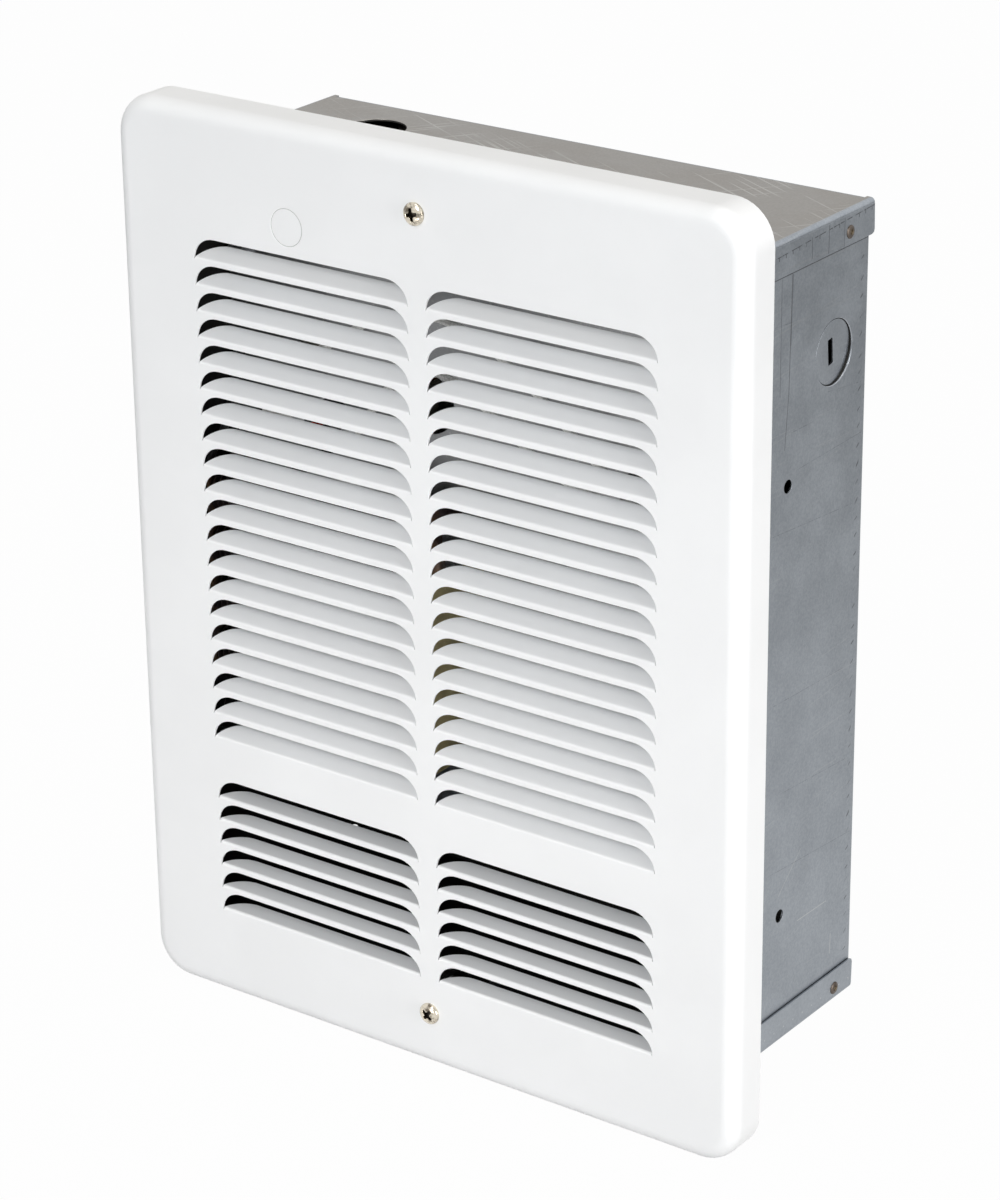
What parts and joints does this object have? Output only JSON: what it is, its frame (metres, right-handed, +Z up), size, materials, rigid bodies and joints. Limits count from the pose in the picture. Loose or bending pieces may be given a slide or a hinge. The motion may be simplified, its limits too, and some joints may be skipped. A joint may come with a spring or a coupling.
{
  "type": "recessed wall fan heater",
  "caption": "Recessed bathroom wall fan heater: louvered white front pan over a steel wall can with a finned element, axial fan, motor, manual-reset limit and wiring.",
  "frame": {"origin": "centre of the wall opening, in the plane of the finished wall, which the front pan's rim touches", "axes": "+X to the right seen from the room, +Y into the wall, +Z up"},
  "size_m": [0.258, 0.1052, 0.34],
  "materials": {
    "enamel": "smooth satin white powder coat",
    "galvanised": "mill-finish galvanised sheet, dull, lightly scratched",
    "screw_nickel": "warm nickel plate, satin",
    "zinc_plate": "bright zinc plate",
    "spring_steel": "black oxide",
    "rivet": "steel rivet with a tarnished, brownish core",
    "grommet_rubber": "matt black",
    "mica": "pressed mica board, dull khaki",
    "sheath_steel": "heat-tinted steel tube",
    "fin_steel": "heat-darkened steel",
    "bushing_ceramic": "unglazed ceramic",
    "phenolic": "black phenolic",
    "button_red": "smooth red",
    "fuse_case": "dull",
    "blade_aluminium": "stamped sheet, satin",
    "hub_zinc": "die-cast, dull",
    "lamination": "stacked sheet edges",
    "copper": "enamelled copper",
    "bobbin_nylon": "natural nylon",
    "bronze": "oil-filled sintered bronze",
    "wire_white": "silicone-coated glass braid",
    "wire_dark": "black insulation",
    "wire_green": "green insulation",
    "screw_green": "green-tinted zinc",
    "nut_tan": "smooth tan plastic"
  },
  "bodies": {
    "root": {"grille": "enamel", "grille_screws": "screw_nickel", "grille_clips": "spring_steel", "grille_ears": "galvanised", "can_wrap": "galvanised", "can_top": "galvanised", "can_bottom": "galvanised", "can_rivets": "rivet", "deck_rails": "galvanised", "fan_deck": "galvanised", "orifice_ring": "galvanised", "deck_screws": "zinc_plate", "wire_grommet": "grommet_rubber", "mica_shield": "mica", "element_sheath": "sheath_steel", "element_fins": "fin_steel", "element_plates": "galvanised", "element_bushings": "bushing_ceramic", "element_terminals": "zinc_plate", "limit_bracket": "zinc_plate", "limit_body": "phenolic", "limit_tabs": "zinc_plate", "thermal_fuse": "fuse_case", "fuse_clip": "zinc_plate", "stator": "lamination", "motor_coil": "copper", "coil_bobbin": "bobbin_nylon", "shading_rings": "copper", "front_bracket": "hub_zinc", "rear_bracket": "hub_zinc", "bearings": "bronze", "motor_bolts": "zinc_plate", "motor_nuts": "zinc_plate", "motor_bridge": "galvanised", "bridge_screws": "zinc_plate", "white_wires": "wire_white", "motor_leads": "wire_dark", "ground_wire": "wire_green", "ground_screws": "screw_green", "wire_nuts": "nut_tan"},
    "fan": {"fan_blades": "blade_aluminium", "fan_hub": "hub_zinc", "hub_screw": "spring_steel", "motor_shaft": "zinc_plate", "rotor": "lamination"},
    "reset_button": {"limit_button": "button_red"}
  },
  "joints": [
    {"name": "fan_spin", "type": "hinge", "parent": "root", "child": "fan", "pos_m": [-0.058, 0.032, -0.005], "axis": [0, 1, 0], "continuous": true},
    {"name": "limit_reset", "type": "slide", "parent": "root", "child": "reset_button", "axis": [0, 1, 0], "range_m": [0, 0.0015], "stiffness_N_per_m": 1500, "springref_m": -0.001}
  ]
}
